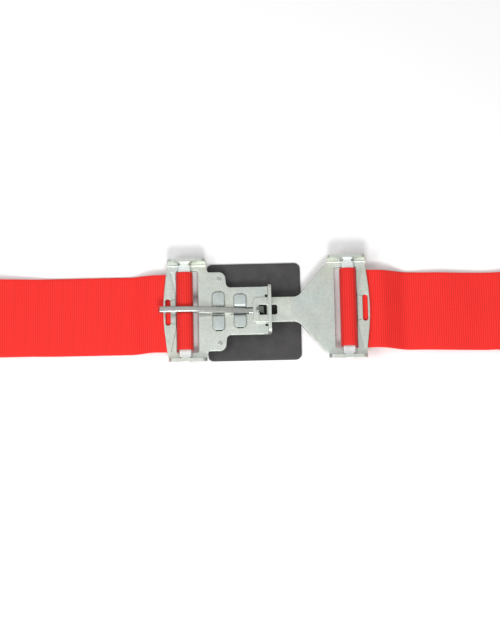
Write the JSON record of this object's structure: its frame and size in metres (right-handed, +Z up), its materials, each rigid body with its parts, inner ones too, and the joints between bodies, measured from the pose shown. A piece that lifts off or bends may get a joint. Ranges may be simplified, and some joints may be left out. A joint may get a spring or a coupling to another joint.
{
  "type": "racing harness lap belt buckle",
  "caption": "Racing harness lap belt: a lever latch and link buckle in pressed steel over a pad, with slide-bar adjusters, red webbing and bolt-in anchors.",
  "frame": {"origin": "on the surface that the belt lies on, under the middle of its whole length and width", "axes": "+X along the belt from the latch to the link, +Y across the webbing, +Z up out of the pad"},
  "size_m": [0.696, 0.1008, 0.0291],
  "materials": {
    "zinc_plate": "satin zinc plating",
    "cheek_steel": "matt zinc plating",
    "lever_steel": "satin zinc plating",
    "bar_steel": "bright zinc plating",
    "pin_steel": "bright",
    "spring_steel": "satin",
    "pad_rubber": "matt, finely grained",
    "red_webbing": "woven",
    "anchor_steel": "satin zinc plating"
  },
  "bodies": {
    "latch": {"latch_plate": "zinc_plate", "lever_cheek_front": "cheek_steel", "lever_cheek_rear": "cheek_steel", "pivot_pin": "pin_steel", "pivot_clip": "spring_steel", "lever_spring": "spring_steel", "buckle_pad": "pad_rubber", "pad_rivets": "pin_steel", "pad_spacers": "pin_steel"},
    "lever": {"latch_lever": "lever_steel"},
    "link": {"link_plate": "zinc_plate"},
    "left_bar": {"left_slide_bar": "bar_steel", "left_strap_loop": "red_webbing"},
    "right_bar": {"right_slide_bar": "bar_steel", "right_strap_loop": "red_webbing"},
    "left_strap": {"left_load_strap": "red_webbing", "left_strap_tail": "red_webbing"},
    "right_strap": {"right_load_strap": "red_webbing", "right_strap_tail": "red_webbing"},
    "left_anchor": {"left_anchor": "anchor_steel"},
    "right_anchor": {"right_anchor": "anchor_steel"}
  },
  "joints": [
    {"name": "lever_hinge", "type": "hinge", "parent": "latch", "child": "lever", "pos_m": [-0.012, 0, 0.0076], "axis": [0, 1, 0], "range_deg": [0, 24], "stiffness_Nm_per_rad": 0.12, "springref_deg": -34.38, "deforming": ["lever_spring"]},
    {"name": "link_slide", "type": "slide", "parent": "latch", "child": "link", "axis": [1, 0, 0], "range_m": [-0.003, 0]},
    {"name": "left_bar_slide", "type": "slide", "parent": "latch", "child": "left_bar", "axis": [1, 0, 0], "range_m": [0, 0.003]},
    {"name": "left_strap_swing", "type": "hinge", "parent": "left_bar", "child": "left_strap", "pos_m": [-0.0887, 0, 0.00995], "axis": [0, 1, 0], "range_deg": [-50, 35]},
    {"name": "left_anchor_swing", "type": "hinge", "parent": "left_strap", "child": "left_anchor", "pos_m": [-0.29, 0, 0.0054], "axis": [0, 1, 0], "range_deg": [-60, 60]},
    {"name": "right_bar_slide", "type": "slide", "parent": "link", "child": "right_bar", "axis": [-1, 0, 0], "range_m": [0, 0.003]},
    {"name": "right_strap_swing", "type": "hinge", "parent": "right_bar", "child": "right_strap", "pos_m": [0.1198, 0, 0.01315], "axis": [0, -1, 0], "range_deg": [-50, 35]},
    {"name": "right_anchor_swing", "type": "hinge", "parent": "right_strap", "child": "right_anchor", "pos_m": [0.29, 0, 0.0054], "axis": [0, -1, 0], "range_deg": [-60, 60]}
  ]
}
